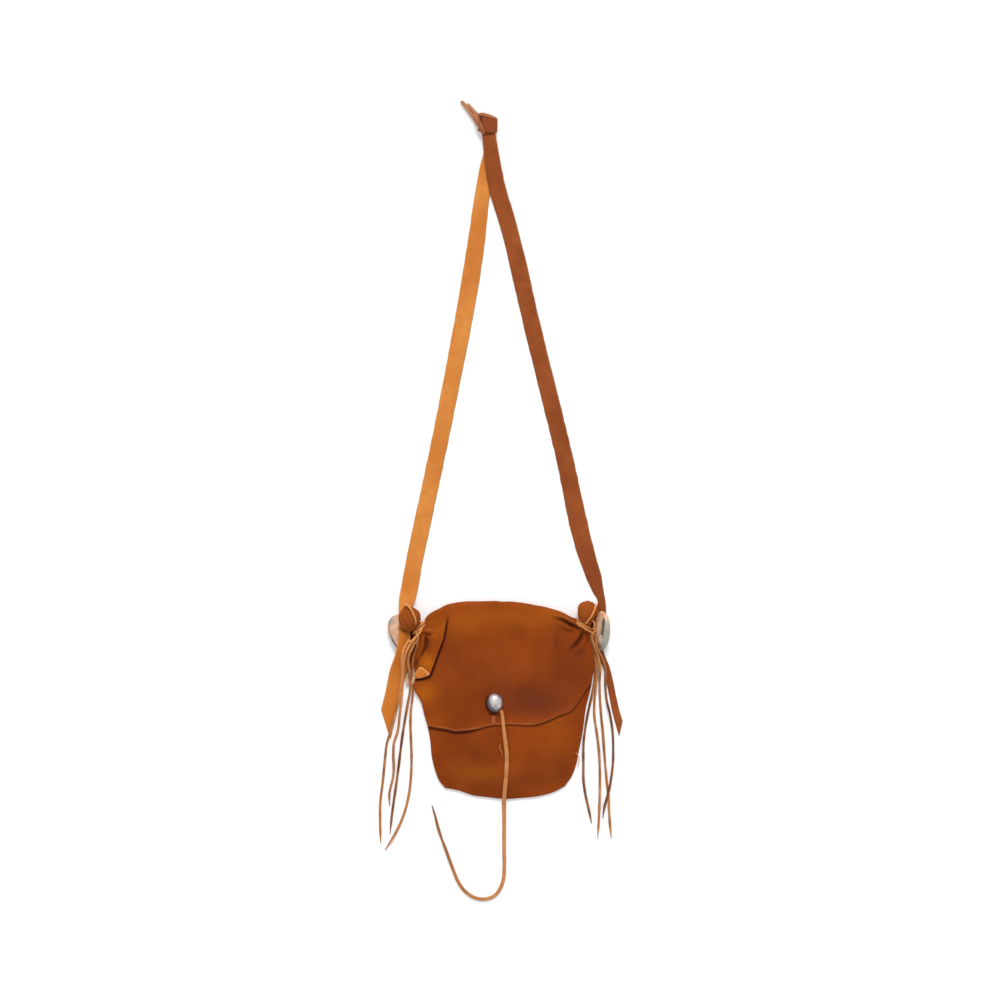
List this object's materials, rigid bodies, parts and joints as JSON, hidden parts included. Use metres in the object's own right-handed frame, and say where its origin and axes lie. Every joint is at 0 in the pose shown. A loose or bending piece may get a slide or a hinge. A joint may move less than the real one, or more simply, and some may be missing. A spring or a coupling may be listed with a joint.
{
  "type": "deerskin bag",
  "caption": "Small soft hide bag with a natural-edged flap, tied and fringed corners, a domed metal button with a long thong, and a long knotted shoulder strap.",
  "frame": {"origin": "middle of the back panel, on its flat outer face", "axes": "+Y from the bag up along the strap to its knot, +Z out through the flap, +X to the right as the flap is faced"},
  "size_m": [0.2682, 0.8809, 0.029],
  "materials": {
    "brown_deerskin": "soft napped hide",
    "tan_flesh_side": "matt flesh side",
    "dark_grain_side": "matt grain side",
    "lace": "matt cut lace",
    "shell": "polished shell",
    "button_metal": "worn, lightly polished"
  },
  "bodies": {
    "root": {"back_and_flap": "brown_deerskin", "button": "button_metal", "closure_thong": "lace", "ear_lace_left": "lace", "ear_lace_right": "lace", "fringe_left_1": "lace", "fringe_left_2": "lace", "fringe_left_3": "lace", "fringe_left_4": "lace", "fringe_right_1": "lace", "fringe_right_2": "lace", "fringe_right_3": "lace", "fringe_right_4": "lace", "front_pocket": "brown_deerskin", "shell_left": "shell", "shell_right": "shell", "slit_knot": "lace", "strap_left": "tan_flesh_side", "strap_right": "dark_grain_side", "thong_keeper": "dark_grain_side", "tie_left": "lace", "tie_right": "lace"}
  },
  "joints": []
}
